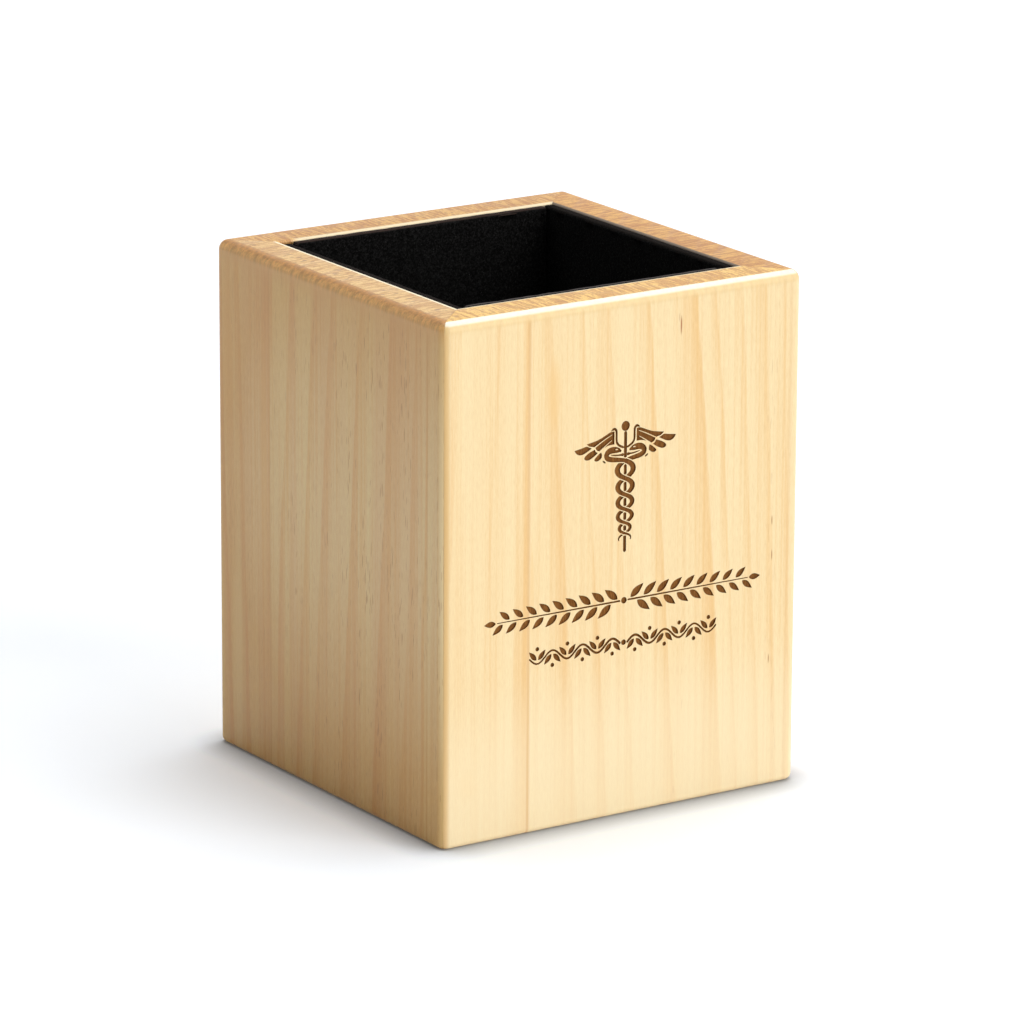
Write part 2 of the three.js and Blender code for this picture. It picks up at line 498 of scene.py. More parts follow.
def face_colour(tree, board, across, place, x, z):
    """The colour of a board's faces, their latewood and their fibres."""
    seed = board["seed"]
    late = profile_curve(tree, across, band_points(board["bands"]), *GRAIN_RANGE)
    streak = noise_value(tree, place, (1.1, 1.1, 0.012), 3.0, 0.6, seed + 1)
    late = calc(tree, "ADD", rescale(tree, streak, 0.35, 0.7, -0.2, 0.3), late)
    late = calc(tree, "MULTIPLY", calc(tree, "MAXIMUM", late, 0.0), board["contrast"])
    colour = mix_colour(tree, late, EARLYWOOD, LATEWOOD)

    # Long stripes wider than a ring, and fine fibres.
    wide = noise_value(tree, place, (0.16, 0.16, 0.004), 1.0, 0.5, seed + 2)
    colour = mix_colour(tree, rescale(tree, wide, 0.36, 0.64), colour, board["stripe"], "MULTIPLY")
    fibre = noise_value(tree, place, (4.5, 4.5, 0.5), 4.0, 0.75, seed + 3)
    colour = mix_colour(tree, rescale(tree, fibre, 0.32, 0.7), colour, board["fibre"], "MULTIPLY")

    for spot in board["spots"]:
        colour = mix_colour(tree, spot_mask(tree, x, z, spot), colour, spot[5])
    for line_place, half_width, strength in board["lines"]:
        wobble = calc(tree, "MULTIPLY_ADD", streak, 0.5, line_place - 0.25)
        away = calc(tree, "ABSOLUTE", calc(tree, "SUBTRACT", x, wobble))
        amount = rescale(tree, away, half_width * 1.6, half_width * 0.2, 0.0, 0.6 * strength)
        colour = mix_colour(tree, amount, colour, RESIN_LINE)
    amount = profile_curve(tree, x, board["flecks"], *ACROSS)
    flecks = calc(tree, "MULTIPLY", fleck_mask(tree, place, seed), amount)
    colour = mix_colour(tree, flecks, colour, RESIN_FLECK)

    # Painted shade: darker and browner towards some edges of the board.
    up = profile_curve(tree, z, board["shade_up"], *UPWARDS)
    sideways = profile_curve(tree, x, board["shade_across"], *ACROSS)
    shade_amount = calc(tree, "ADD", up, sideways, clamp=True)
    colour = mix_colour(tree, shade_amount, colour, PAINTED_SHADE, "MULTIPLY")
    return mix_colour(tree, 1.0, colour, board["tint"], "MULTIPLY"), late, fibre


def end_colour(tree, board, late, place, x, y):
    """The colour where the fibres end, and how grainy it is."""
    seed = board["seed"]
    rays = noise_value(tree, place, (1.7, 0.18, 0.1), 3.0, 0.65, seed + 8)
    grains = noise_value(tree, place, (3.0, 1.6, 0.5), 3.0, 0.75, seed + 7)
    tone = profile_curve(tree, x, board["end_tones"], *ACROSS)
    ring = calc(tree, "MULTIPLY_ADD", late, 0.5, rescale(tree, rays, 0.34, 0.66, -0.9, 1.3))
    ring = calc(tree, "ADD", ring, tone)
    if "knot" in board:
        ring = calc(tree, "MAXIMUM", ring, knot_mask(tree, x, y, board["knot"]))
    colour = mix_colour(tree, calc(tree, "MAXIMUM", ring, 0.0), END_EARLY, END_LATE)
    colour = mix_colour(tree, rescale(tree, grains, 0.48, 0.66), colour, END_PORE, "MULTIPLY")

    # Short dark dashes and pits, where the saw tore the fibres.
    cells = stretched(tree, place, (0.9, 0.3, 0.0))
    inputs = {"Vector": cells, "Scale": 1.0}
    voronoi = node(tree, "ShaderNodeTexVoronoi", inputs, voronoi_dimensions="2D")
    gathered = noise_value(tree, place, (0.3, 0.3, 0.0), 1.0, 0.5, seed + 12)
    reach = rescale(tree, gathered, 0.42, 0.62, 0.0, 0.24)
    torn = rescale(tree, calc(tree, "SUBTRACT", reach, voronoi.outputs["Distance"]), 0.0, 0.06)
    colour = mix_colour(tree, calc(tree, "MULTIPLY", torn, board["dashes"]), colour, END_TORN)
    return mix_colour(tree, 1.0, colour, board["end_tint"], "MULTIPLY"), grains


def pine_material(name, board):
    material, tree = new_material(name)
    across, place, x, y, z = grain_coordinates(tree, board)
    colour, late, fibre = face_colour(tree, board, across, place, x, z)
    ended, grains = end_colour(tree, board, late, place, x, y)

    # Towards the rim the colour changes in stripes, which are blotchy where they are ragged.
    # On the front board the first stripe is a painted highlight.
    ragged = noise_value(tree, place, (0.9, 0.9, 0.0), 4.0, 0.75, board["seed"] + 9)
    shift = calc(tree, "MULTIPLY", calc(tree, "SUBTRACT", ragged, 0.5), board["edge_rag"])
    depth = calc(tree, "SUBTRACT", WALL_HEIGHT / MM, z)
    blotches = calc(tree, "MULTIPLY_ADD", shift, 0.8, depth)
    for edge_colour, amounts in board["edges"]:
        amount = profile_curve(tree, blotches, amounts, *DOWNWARDS)
        colour = mix_colour(tree, amount, colour, edge_colour)
    mottled = rescale(tree, ragged, 0.35, 0.65, 0.75, 1.25)
    near_rim = calc(tree, "MULTIPLY", rescale(tree, depth, 3.0, 0.5), board["edge_rag"])
    dappled = mix_colour(tree, 1.0, colour, mottled, "MULTIPLY")
    colour = mix_colour(tree, near_rim, colour, dappled)

    # The fibres end on the rim, from a little inside the outer face, and under the foot.
    on_rim = rescale(tree, depth, RIM_DEPTH, 0.8 * RIM_DEPTH)
    inset = calc(tree, "MULTIPLY_ADD", shift, 2.5, y)
    start = board["rim_start"]
    rim = calc(tree, "MULTIPLY", rescale(tree, inset, start - RIM_BLUR, start + RIM_BLUR), on_rim)
    end = calc(tree, "MAXIMUM", rim, rescale(tree, height_of_normal(tree), -0.8, -0.97))
    colour = mix_colour(tree, end, colour, ended)

    # The inner edge of the rim in its arris colour: a painted highlight on paler sanded wood on the
    # front and left boards, painted shade on the right one.
    start = (WALL_THICKNESS - ARRIS) / MM - board["arris_from"]
    arris_wear_and_light = rescale(tree, y, start - ARRIS_BLUR, start + ARRIS_BLUR)
    arris_wear_and_light = calc(tree, "MULTIPLY", arris_wear_and_light, on_rim)
    if "arris_until" in board:
        fading = rescale(tree, x, board["arris_until"] + 3, board["arris_until"])
        arris_wear_and_light = calc(tree, "MULTIPLY", arris_wear_and_light, fading)
    colour = mix_colour(tree, arris_wear_and_light, colour, board["arris"])

    height = calc(tree, "MULTIPLY_ADD", fibre, 0.5, calc(tree, "MULTIPLY", grains, end))
    add_surface(tree, {
        "Base Color": colour,
        "Roughness": rescale(tree, late, 0.0, 1.0, 0.44, 0.36),
        "IOR": 1.45,
        "Coat Weight": 0.12,
        "Coat Roughness": 0.25,
        "Normal": bump_from(tree, height, 0.2, 0.06 * MM),
    })
    return material


def burnt_material():
    """The floor and sides of the engraving."""
    material, tree = new_material("engraved_pine")
    fibre = noise_value(tree, place_in_mm(tree), (3.0, 3.0, 0.5), 3.0, 0.6, 2.0)
    add_surface(tree, {
        "Base Color": mix_colour(tree, rescale(tree, fibre, 0.3, 0.7), BURNT, BURNT_DARK),
        "Roughness": 0.8,
        "Specular IOR Level": 0.12,
        "Normal": bump_from(tree, fibre, 0.4, 0.05 * MM),
    })
    return material


# The engraving, drawn flat in millimetres from the foot of the front board's middle line: x to
# the right and z up. A ribbon's stations are (x, z, width).
def smooth_path(points):
    """A smooth line through the points, in steps."""
    path = []
    ends = [points[0], *points, points[-1]]
    for a, b, c, d in zip(ends, ends[1:], ends[2:], ends[3:]):
        a, b, c, d = map(Vector, (a, b, c, d))
        count = max(2, round((c - b).length / ENGRAVING_STEP))
        for i in range(count):
            t = i / count
            bend = (2 * a - 5 * b + 4 * c - d) * t * t + (3 * b - a - 3 * c + d) * t**3
            path.append(b + ((c - a) * t + bend) / 2)
    path.append(Vector(points[-1]))
    return path


def ribbon(stations, extra=0.0, rounded=True):
    """The outline of a brush stroke along close stations, widened by extra on each side."""
    left, right = [], []
    last = len(stations) - 1
    for i, station in enumerate(stations):
        ahead = (stations[min(i + 1, last)] - stations[max(i - 1, 0)]).to_2d().normalized()
        side = Vector((-ahead.y, ahead.x)) * (station.z / 2 + extra)
        left.append(station.to_2d() + side)
        right.append(station.to_2d() - side)

    def cap(centre, start):
        turns = [Matrix.Rotation(-math.pi * k / 5, 2) for k in range(1, 5)]
        return [centre + turn @ (start - centre) for turn in turns]

    outline = list(left)
    if rounded:
        outline += cap(stations[-1].to_2d(), left[-1])
    outline += reversed(right)
    if rounded:
        outline += cap(stations[0].to_2d(), right[0])
    return outline


def outline_of(*sides):
    """A closed outline of smooth sides that meet at corners."""
    outline = []
    for side in sides:
        outline += [p.to_2d() for p in smooth_path([(x, z, 0) for x, z in side])][:-1]
    return outline


def circle(x, z, radius_x, radius_z, count=28):
    turns = [2 * math.pi * k / count for k in range(count)]
    return [Vector((x + radius_x * math.cos(a), z + radius_z * math.sin(a))) for a in turns]


def mirrored(outline, side):
    return [Vector((side * p[0], p[1])) for p in outline]


def flat_prism(*outlines):
    """Closed outlines as one set of cutters that reach into the front face."""
    bm = bmesh.new()
    outside = -0.5 * MM
    for outline in outlines:
        verts = []
        for x, z in outline:
            verts.append(bm.verts.new(((x + FIGURE_SHIFT) * MM, outside, (z - FIGURE_DROP) * MM)))
        face = bm.faces.new(verts)
        grown = bmesh.ops.extrude_face_region(bm, geom=[face])["geom"]
        moved = [g for g in grown if isinstance(g, bmesh.types.BMVert)]
        bmesh.ops.translate(bm, vec=(0, ENGRAVING_DEPTH - outside, 0), verts=moved)
    bmesh.ops.recalc_face_normals(bm, faces=bm.faces)
    return object_from(bm, "cutter")


# The two snakes cross in front of the staff at these heights, and each winds to the other side
# between two crossings. Between them lie the reach of a winding and its width.
CROSSINGS = (71.15, 67.65, 64.4, 61.5, 58.85, 56.75, 54.75)
REACHES = (2.45, 2.26, 2.2, 2.1, 1.62, 1.7)
WIDTHS = (1.26, 1.16, 1.08, 0.94, 0.76, 0.6)
THIN_AT_CROSSING = 0.28
TAIL_FROM, TAIL_TURN = 5, 5.62  # where the tail begins and ends, in crossings
THIN_AT_TAIL = 0.62

# The neck and head beside the staff, from the nose to the first crossing.
HEAD_AND_NECK = [
    (-1.15, 73.2, 0.5), (-1.6, 73.38, 0.95), (-2.3, 73.52, 1.22), (-3.2, 73.56, 1.26),
    (-3.95, 73.3, 1.18), (-4.36, 72.75, 1.1), (-4.15, 72.15, 1.05), (-3.4, 71.8, 1.0),
    (-2.4, 71.6, 0.95), (-1.2, 71.42, 0.85), (0, 71.15, 0.76),
]
LOWER_JAW = [
    (-3.3, 72.66, 0.12), (-2.6, 72.52, 0.26), (-1.9, 72.42, 0.3), (-1.25, 72.38, 0.34),
    (-0.62, 72.38, 0.6),
]
NECK_FROM = -1.0  # the turn at the nose, on the way to turn 0 at the first crossing


def winding_station(turn, side):
    whole = min(int(turn), len(REACHES) - 1)
    part = turn - whole
    drop = part - 0.035 * math.sin(2 * math.pi * part)
    z = CROSSINGS[whole] + (CROSSINGS[whole + 1] - CROSSINGS[whole]) * drop
    width = WIDTHS[whole]
    if whole + 1 < len(WIDTHS) and part > 0.5:
        width += (WIDTHS[whole + 1] - width) * (part - 0.5)
    if whole > 0 and part < 0.5:
        width += (WIDTHS[whole - 1] - width) * (0.5 - part)
    reach = REACHES[whole] - WIDTHS[whole] / 2
    width *= 1 - THIN_AT_CROSSING * abs(math.cos(math.pi * turn)) ** 1.5
    if turn > TAIL_FROM:
        width *= 1 - (turn - TAIL_FROM) / (TAIL_TURN - TAIL_FROM) * THIN_AT_TAIL
    return Vector((side * reach * math.sin(math.pi * turn), z, width))


def snake_stations(side, first=NECK_FROM, last=TAIL_TURN):
    """Stations of a snake between two turns. The one on side 1 has its head on the left."""
    stations = []
    neck = smooth_path(HEAD_AND_NECK)
    for i, station in enumerate(neck[:-1]):
        turn = NECK_FROM * (1 - i / (len(neck) - 1))
        if first <= turn <= last:
            stations.append(Vector((side * station.x, station.y, station.z)))
    turn = max(first, 0.0)
    steps = round((last - turn) * 30)
    for i in range(steps + 1):
        stations.append(winding_station(turn + (last - turn) * i / max(steps, 1), side))
    return stations


def snake_cutter(side):
    """One snake, left out where it passes under the other, and round its eye."""
    snake = flat_prism(ribbon(snake_stations(side)))
    under = range(1, 6, 2) if side > 0 else range(0, 6, 2)
    over = []
    for turn in under:
        stations = snake_stations(-side, turn - 0.36, turn + 0.36)
        over.append(ribbon(stations, LINE_GAP / MM, rounded=False))
    eye = mirrored(circle(-2.05, 73.58, 0.3, 0.11, 12), side)
    subtract(snake, flat_prism(*over), flat_prism(eye))
    return snake


WING_BAND = [
    (-3.25, 77.38, 0.14), (-2.9, 77.62, 0.42), (-2.5, 77.66, 0.5), (-2.17, 77.36, 0.48),
    (-2.07, 76.8, 0.46), (-2.07, 75.8, 0.46), (-2.0, 75.05, 0.46), (-1.65, 74.48, 0.46),
    (-1.1, 74.1, 0.46), (-0.5, 73.82, 0.42),
]
WING_FAN = (
    [(-2.56, 77.22), (-3.4, 77.2), (-4.0, 76.98), (-6.0, 76.15), (-7.4, 75.82), (-8.9, 75.58)],
    [(-8.9, 75.58), (-8.45, 75.18), (-8.0, 74.97), (-7.3, 74.82), (-6.95, 74.66)],
    [(-6.95, 74.66), (-6.7, 74.2), (-6.4, 73.95), (-6.0, 73.8), (-5.6, 73.9), (-4.9, 74.3)],
    [(-4.9, 74.3), (-4.2, 74.55), (-3.4, 74.66), (-2.56, 74.66)],
    [(-2.56, 74.66), (-2.56, 77.22)],
)
WING_SLITS = (
    [(-3.1, 76.62, 0.1), (-4.4, 76.06, 0.16), (-5.8, 75.36, 0.2), (-7.3, 74.56, 0.22)],
    [(-3.2, 75.5, 0.1), (-4.3, 74.82, 0.16), (-5.0, 74.34, 0.2), (-6.2, 73.52, 0.22)],
)
WING_TIPS = (
    (
        [(-7.75, 74.62), (-8.4, 74.9), (-8.95, 75.13), (-10.0, 74.95), (-11.7, 74.68)],
        [
            (-11.7, 74.68), (-11.35, 74.15), (-10.8, 73.75), (-10.1, 73.64), (-9.2, 73.88),
            (-7.75, 74.62),
        ],
    ),
    (
        [(-6.35, 73.5), (-6.8, 73.8), (-7.05, 74.28)],
        [(-7.05, 74.28), (-8.2, 73.88), (-9.2, 73.3)],
        [(-9.2, 73.3), (-9.45, 72.85), (-9.15, 72.48), (-8.5, 72.4), (-7.6, 72.72), (-6.35, 73.5)],
    ),
    (
        [(-5.45, 72.45), (-5.4, 73.0), (-5.6, 73.55)],
        [(-5.6, 73.55), (-6.3, 73.1), (-7.0, 72.5)],
        [(-7.0, 72.5), (-7.15, 72.15), (-6.75, 71.9), (-6.1, 71.98), (-5.45, 72.45)],
    ),
)
WING_LAST_TIP = [(-5.15, 71.72, 0.2), (-4.9, 71.52, 0.38), (-4.6, 71.32, 0.2)]


def wing_cutters(side):
    fan = flat_prism(mirrored(outline_of(*WING_FAN), side))
    slits = [ribbon(smooth_path(slit)) for slit in WING_SLITS]
    neck = snake_stations(side, NECK_FROM, 0.0)
    crown, nape = neck[: len(neck) // 2], neck[len(neck) // 2 - 1 :]
    covers = [flat_prism(ribbon(part, LINE_GAP / MM)) for part in (crown, nape)]
    subtract(fan, flat_prism(*[mirrored(slit, side) for slit in slits]), *covers)
    parts = [outline_of(*tip) for tip in WING_TIPS]
    parts += [ribbon(smooth_path(part)) for part in (WING_LAST_TIP, WING_BAND, LOWER_JAW)]
    return [fan, flat_prism(*[mirrored(part, side) for part in parts])]


STAFF_WIDTH = 0.68
STAFF_FOOT, STAFF_TOP = 53.35, 76.6
BALL = (0, 77.95, 0.96, 0.98)


def caduceus_cutters():
    """A staff with a ball, two wings and two twined snakes, as separate shapes."""
    staff = flat_prism(ribbon([Vector((0, z, STAFF_WIDTH)) for z in (STAFF_FOOT, 65, STAFF_TOP)]))
    for side in (1, -1):
        cover = ribbon(snake_stations(side, -0.5), LINE_GAP / MM)
        subtract(staff, flat_prism(cover))
    cutters = [staff, flat_prism(circle(*BALL))]
    for side in (1, -1):
        cutters += [snake_cutter(side), *wing_cutters(side)]
    return cutters


# Two rows of leaves under the figure.
def leaf(foot, angle, length, width):
    """A pointed leaf that grows from foot at an angle."""
    turn = Matrix.Rotation(angle, 2)
    upper, lower = [], []
    for i in range(13):
        t = i / 12
        swell = math.sin(math.pi * t**0.8) * width / 2
        upper.append(Vector(foot) + turn @ Vector((length * t, swell)))
        if 0 < i < 12:
            lower.append(Vector(foot) + turn @ Vector((length * t, -swell)))
    return upper + list(reversed(lower))


def sprig_cutters(middle, half_length, leaf_length, leaf_width, pairs):
    """Two leafy sprigs that grow outwards from a berry in the middle."""
    berry = 0.17 * leaf_length
    outlines = [circle(0, middle, berry, berry, 20)]
    spacing = (half_length - leaf_length) / pairs
    for side in (1, -1):
        count = round((half_length - 0.8 * leaf_length) / 0.5)
        stem = [Vector((1 + i * 0.5, middle, 0.36 - 0.18 * i / count)) for i in range(count)]
        sprig = [ribbon(stem)]
        for k in range(pairs):
            foot = 1.5 + k * spacing
            size = 1 - 0.25 * k / pairs
            for tilt in (1, -1):
                start = (foot + (0.5 * spacing if tilt < 0 else 0), middle + tilt * 0.42)
                angle = tilt * math.radians(38)
                sprig.append(leaf(start, angle, leaf_length * size, leaf_width * size))
        tip = (stem[-1].x + 0.35, middle)
        sprig.append(leaf(tip, 0, leaf_length * 0.7, leaf_width * 0.8))
        outlines += [mirrored(part, side) for part in sprig]
    return [flat_prism(*outlines)]


def vine_cutters(middle, half_length, wave_height, waves, leaf_length, leaf_width):
    """A waving stem with two leaves and a berry in each bend, running both ways from a berry."""
    start = 0.9
    wave = (half_length - start) / waves
    outlines = [circle(0, middle, 0.55, 0.55, 20)]
    for side in (1, -1):
        count = waves * 24
        stations = []
        for i in range(count + 1):
            z = middle + wave_height / 2 * math.sin(2 * math.pi * i * waves / count)
            stations.append(Vector((start + i / count * wave * waves, z, 0.5 - 0.15 * i / count)))
        parts = [ribbon(stations)]
        for k in range(waves * 2):
            down = 1 if k % 2 else -1
            x = start + (k + 0.5) * wave / 2
            foot = middle - down * (wave_height / 2 - 0.75)
            for tilt in (-1, 1):
                angle = down * math.radians(90 + 42 * tilt)
                root = (x - 0.22 * tilt, foot)
                parts.append(leaf(root, angle, leaf_length, leaf_width))
            parts.append(circle(x, middle + down * (wave_height / 2 + 0.75), 0.42, 0.42, 16))
        outlines += [mirrored(part, side) for part in parts]
    return [flat_prism(*outlines)]


# The boards
SIDES = {
    "front": (CUP_WIDTH, CUP_DEPTH / 2, 0.0),
    "right": (CUP_DEPTH, CUP_WIDTH / 2, math.pi / 2),
    "back": (CUP_WIDTH, CUP_DEPTH / 2, math.pi),
    "left": (CUP_DEPTH, CUP_WIDTH / 2, -math.pi / 2),
}


def side_matrix(side):
    """From a side's own frame, with its outer face at y = 0 looking along -Y, to the cup's."""
    _, out, turn = SIDES[side]
    return Matrix.Rotation(turn, 4, "Z") @ Matrix.Translation((0, -out, WALL_FOOT))


def cut_flat(bm, point, normal):
    """Cuts off what lies past a plane and closes the cut. Gives the edges round the cut."""
    parts = bm.verts[:] + bm.edges[:] + bm.faces[:]
    made = bmesh.ops.bisect_plane(bm, geom=parts, plane_co=point, plane_no=normal, clear_outer=True)
    rim = [g for g in made["geom_cut"] if isinstance(g, bmesh.types.BMEdge)]
    bmesh.ops.edgeloop_fill(bm, edges=rim)
    bmesh.ops.recalc_face_normals(bm, faces=bm.faces)
    return rim


def round_edges(bm, edges, radius, segments):
    bmesh.ops.bevel(bm, geom=edges, offset=radius, segments=segments, profile=0.5, affect="EDGES")


def make_board(side):
    """A mitred board with rounded outer edges, in its own frame."""
    length = SIDES[side][0]
    bm = box_mesh((-length / 2, 0, 0), (length / 2, 3 * WALL_THICKNESS, WALL_HEIGHT))
    raised = [e for e in bm.edges if max(v.co.z for v in e.verts) > WALL_HEIGHT / 2]
    round_edges(bm, raised, EDGE_RADIUS, EDGE_SEGMENTS)
    foot = [e for e in bm.edges if max(v.co.z for v in e.verts) < 0.01 * MM]
    round_edges(bm, foot, FOOT_RADIUS, FOOT_SEGMENTS)
    cut_flat(bm, (0, WALL_THICKNESS, 0), (0, 1, 0))
    cut_flat(bm, (0, WALL_THICKNESS - ARRIS, WALL_HEIGHT), (0, 1, 1))
    mitred = []
    for end in (1, -1):
        place = (end * (length / 2 - MITRE_GAP / math.sqrt(2)), 0, 0)
        mitred += cut_flat(bm, place, (end, 1, 0))
    round_edges(bm, mitred, MITRE_EASE, 2)
    made = object_from(bm, f"{side}_board")

    rabbet_y = CUP_DEPTH / 2 + base_low.y - RABBET_CLEARANCE
    rabbet_z = base_high.z + RABBET_CLEARANCE - WALL_FOOT
    past = 5 * MM
    low, high = (-length, rabbet_y, -past), (length, WALL_THICKNESS + past, rabbet_z)
    subtract(made, object_from(box_mesh(low, high), "cutter"))
    made.data.materials.clear()
    return made


def make_walls():
    burnt = burnt_material()
    for side in SIDES:
        wall = make_board(side)
        wall.data.materials.append(pine_material(f"pine_{side}", BOARDS[side]))
        if side == "front":
            cutters = caduceus_cutters()
            cutters += sprig_cutters(
                middle=43.4, half_length=31.6, leaf_length=3.8, leaf_width=1.5, pairs=9
            )
            cutters += vine_cutters(
                middle=35.0, half_length=21.6, wave_height=2.2, waves=3,
                leaf_length=2.5, leaf_width=1.02,
            )
            for cutter in cutters:
                cutter.data.materials.clear()
                cutter.data.materials.append(burnt)
            subtract(wall, *cutters)
        shade_smooth(wall)
        wall.matrix_world = side_matrix(side)
        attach(wall, "root")
        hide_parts(f"{side}_wall")


# Felt
FELT_BLACK = rgb(0.001, 0.0009, 0.0008)
FELT_GREY = rgb(0.021, 0.0205, 0.02)
FELT_LINT = rgb(0.07, 0.068, 0.066)
# The colour of each lining's top edge, painted light and shade: lighter where the light falls,
# most on the front one, nearly black on the right one.
FELT_TOP_LIGHT = {
    "front": rgb(0.085, 0.078, 0.074),
    "right": rgb(0.0045, 0.0028, 0.002),
    "back": rgb(0.036, 0.024, 0.02),
    "left": rgb(0.012, 0.009, 0.008),
}
FELT_ROUNDING = 0.5 * MM
FELT_SLACK = 0.1 * MM  # how much smaller than its solid a panel starts
# How much higher than its solid a lining stands, and how much nearer to its wall.
LINING_RAISED = {"front": 0.2 * MM, "right": 0.3 * MM, "back": 0.3 * MM, "left": 0.0}
LINING_OUTWARDS = {"right": 0.28 * MM}
FELT_STEP = 1.3 * MM  # between the cuts that let a panel's surface be uneven
FELT_TOP_FROM, FELT_TOP_TO = 90.0, 102.0  # the heights over which the top's colour sets in, in mm
# The painted highlight on the front lining's top covers this width.
HIGHLIGHT_WIDTH = 1.0  # of the front one's top, from its inner face, in mm
FIBRES = 900  # on each panel
FIBRE_THICKNESS = 0.035 * MM
FIBRE_LENGTHS = (0.2, 0.55)  # in mm
FIBRE_CORNERS = (0, 2.094, 4.189)  # round a fibre, in radians


def felt_material(name, top_light):
    material, tree = new_material(f"felt_{name}")
    in_mm = place_in_mm(tree)
    nap = noise_value(tree, in_mm, (2.6, 2.6, 2.6), 3.0, 0.8, 1.0)
    colour = mix_colour(tree, rescale(tree, nap, 0.42, 0.72), FELT_BLACK, FELT_GREY)
    lint = noise_value(tree, in_mm, (3.6, 3.6, 3.6), 2.0, 0.6, 8.0)
    _, y, z = axes_of(tree, in_mm)
    # Painted light and shade on the top edge, where the felt faces upwards.
    top = rescale(tree, z, FELT_TOP_FROM, FELT_TOP_TO)
    top = calc(tree, "MULTIPLY", top, rescale(tree, height_of_normal(tree), 0.45, 0.9))
    # On the front lining the painted highlight lies only along the inner part of its top.
    if name == "front":
        highlight_from = front_felt_high.y / MM - HIGHLIGHT_WIDTH
        front_highlight = rescale(tree, y, highlight_from - 0.4, highlight_from)
        top = calc(tree, "MULTIPLY", top, front_highlight)
    colour = mix_colour(tree, top, colour, top_light)
    colour = mix_colour(tree, rescale(tree, lint, 0.66, 0.76), colour, FELT_LINT)
    fleece = noise_value(tree, in_mm, (5.0, 5.0, 5.0), 3.0, 0.7, 4.0)
    height = calc(tree, "MULTIPLY_ADD", fleece, 0.5, nap)
    add_surface(tree, {
        "Base Color": colour,
        "Roughness": 0.95,
        "Specular IOR Level": 0.04,
        "Sheen Weight": 0.01,
        "Sheen Roughness": 0.5,
        "Normal": bump_from(tree, height, 0.8, 0.25 * MM),
    })
    return material


def fuzzy_block(name, low, high, seed):
    """A felt panel: a block with soft edges and a slightly uneven surface."""
    low, high = Vector(low), Vector(high)
    size = high - low
    bm = box_mesh(low, high, FELT_SLACK)
    round_edges(bm, bm.edges[:], FELT_ROUNDING, 3)
    for axis in range(3):
        place = low[axis] + FELT_ROUNDING + FELT_STEP / 2
        while size[axis] > 2 * FELT_STEP and place < high[axis] - FELT_ROUNDING:
            parts = bm.verts[:] + bm.edges[:] + bm.faces[:]
            normal = Vector([1.0 if i == axis else 0.0 for i in range(3)])
            bmesh.ops.bisect_plane(bm, geom=parts, plane_co=normal * place, plane_no=normal)
            place += FELT_STEP
    bm.normal_update()
    for vert in bm.verts:
        where = vert.co / MM + Vector((seed, 0, 0))
        bumps = 0.07 * noise.noise(where * 0.45) + 0.05 * noise.noise(where * 1.4)
        vert.co += vert.normal * bumps * MM
        for axis in range(3):
            vert.co[axis] = min(max(vert.co[axis], low[axis]), high[axis])
    made = object_from(bm, name)
    made.data.shade_smooth()
    return made


def add_fibre(bm, root, direction, length, bend):
    """A fine bent fibre with three sides."""
    side = direction.orthogonal().normalized()
    other = direction.cross(side).normalized()
    rings = []
    for i in range(4):
        t = i / 3
        centre = root + direction * length * t + bend * length * t * t
        radius = FIBRE_THICKNESS / 2 * (1 - 0.75 * t)
        corners = [side * math.cos(a) + other * math.sin(a) for a in FIBRE_CORNERS]
        rings.append([bm.verts.new(centre + corner * radius) for corner in corners])
    for lower, upper in zip(rings, rings[1:]):
        for k in range(3):
            bm.faces.new((lower[k], lower[(k + 1) % 3], upper[(k + 1) % 3], upper[k]))
    bm.faces.new(reversed(rings[0]))
    bm.faces.new(rings[-1])


def carries_fibres(cad_name, low, high, normal):
    """Whether a face of the panel between low and high can be seen."""
    if cad_name == "base_pad":
        return abs(normal.z) < 0.5
    if cad_name == "floor_lining":
        return normal.z > 0.5
    inward = Vector((-(low.x + high.x), -(low.y + high.y), 0)).normalized()
    return normal.z > 0.3 or normal.dot(inward) > 0.7


def fibres_on(name, panel, seed, chosen):
    """Loose fibres on the chosen faces of the panel."""
    dice = random.Random(seed)
    weights = [p.area for p in chosen]
    bm = bmesh.new()
    for polygon in dice.choices(chosen, weights, k=FIBRES):
        corners = [panel.data.vertices[i].co for i in polygon.vertices]
        a, b = dice.random(), dice.random()
        root = corners[0].lerp(corners[1], a).lerp(corners[-1].lerp(corners[-2], a), b)
        stray = Vector([dice.uniform(-1, 1) for _ in range(3)])
        direction = (polygon.normal + stray * 0.8).normalized()
        bend = Vector([dice.uniform(-0.6, 0.6) for _ in range(3)])
        add_fibre(bm, root, direction, dice.uniform(*FIBRE_LENGTHS) * MM, bend)
    lowest = min(v.co.z for v in panel.data.vertices)
    for vert in bm.verts:
        vert.co.z = max(vert.co.z, lowest)
    return object_from(bm, name)


def make_felt():
    linings = [f"{side}_lining" for side in SIDES]
    for number, cad_name in enumerate([*linings, "floor_lining", "base_pad"]):
        low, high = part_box(cad_name)
        side = cad_name.split("_")[0]
        felt = felt_material(side, FELT_TOP_LIGHT.get(side, FELT_GREY))
        high.z += LINING_RAISED.get(side, 0)
        high.x += LINING_OUTWARDS.get(side, 0)
        panel = fuzzy_block(f"{cad_name}_felt", low, high, 50 * number)
        chosen = [p for p in panel.data.polygons if carries_fibres(cad_name, low, high, p.normal)]
        fuzz = fibres_on(f"{cad_name}_fibres", panel, 100 + number, chosen)
        for piece in (panel, fuzz):
            piece.data.materials.append(felt)
            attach(piece, "root")
        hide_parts(cad_name)


